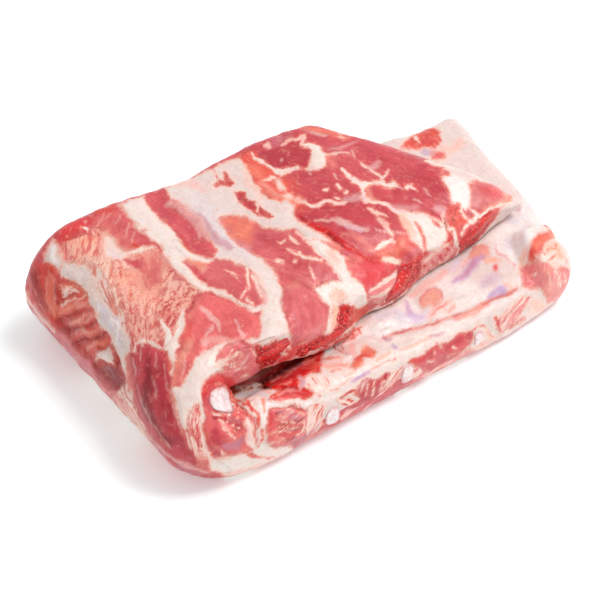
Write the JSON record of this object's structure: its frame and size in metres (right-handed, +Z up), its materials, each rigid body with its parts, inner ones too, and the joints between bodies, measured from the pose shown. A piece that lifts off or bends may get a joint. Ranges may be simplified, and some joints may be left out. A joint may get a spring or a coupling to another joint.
{
  "type": "lamb ribs",
  "caption": "Raw slab of lamb breast folded in half with the meat side out, its cut rib ends showing along the front edge.",
  "frame": {"origin": "middle of the part's box seen from above, at the table it lies on", "axes": "+Z up; +X from the fold to the slab's free ends; -Y towards the edge with the cut rib ends"},
  "size_m": [0.22, 0.1272, 0.0509],
  "materials": {
    "meat": "moist raw meat with white fat, satin",
    "cartilage": "moist white cartilage, satin",
    "red_bone": "sawn red marrow bone, moist"
  },
  "bodies": {
    "root": {"rack_meat": "meat", "rib_lower_1": "cartilage", "rib_lower_2": "cartilage", "rib_lower_3": "cartilage", "rib_fold": "cartilage", "rib_upper_1": "red_bone", "rib_upper_2": "red_bone", "rib_upper_3": "red_bone", "rib_upper_4": "red_bone"}
  },
  "joints": []
}
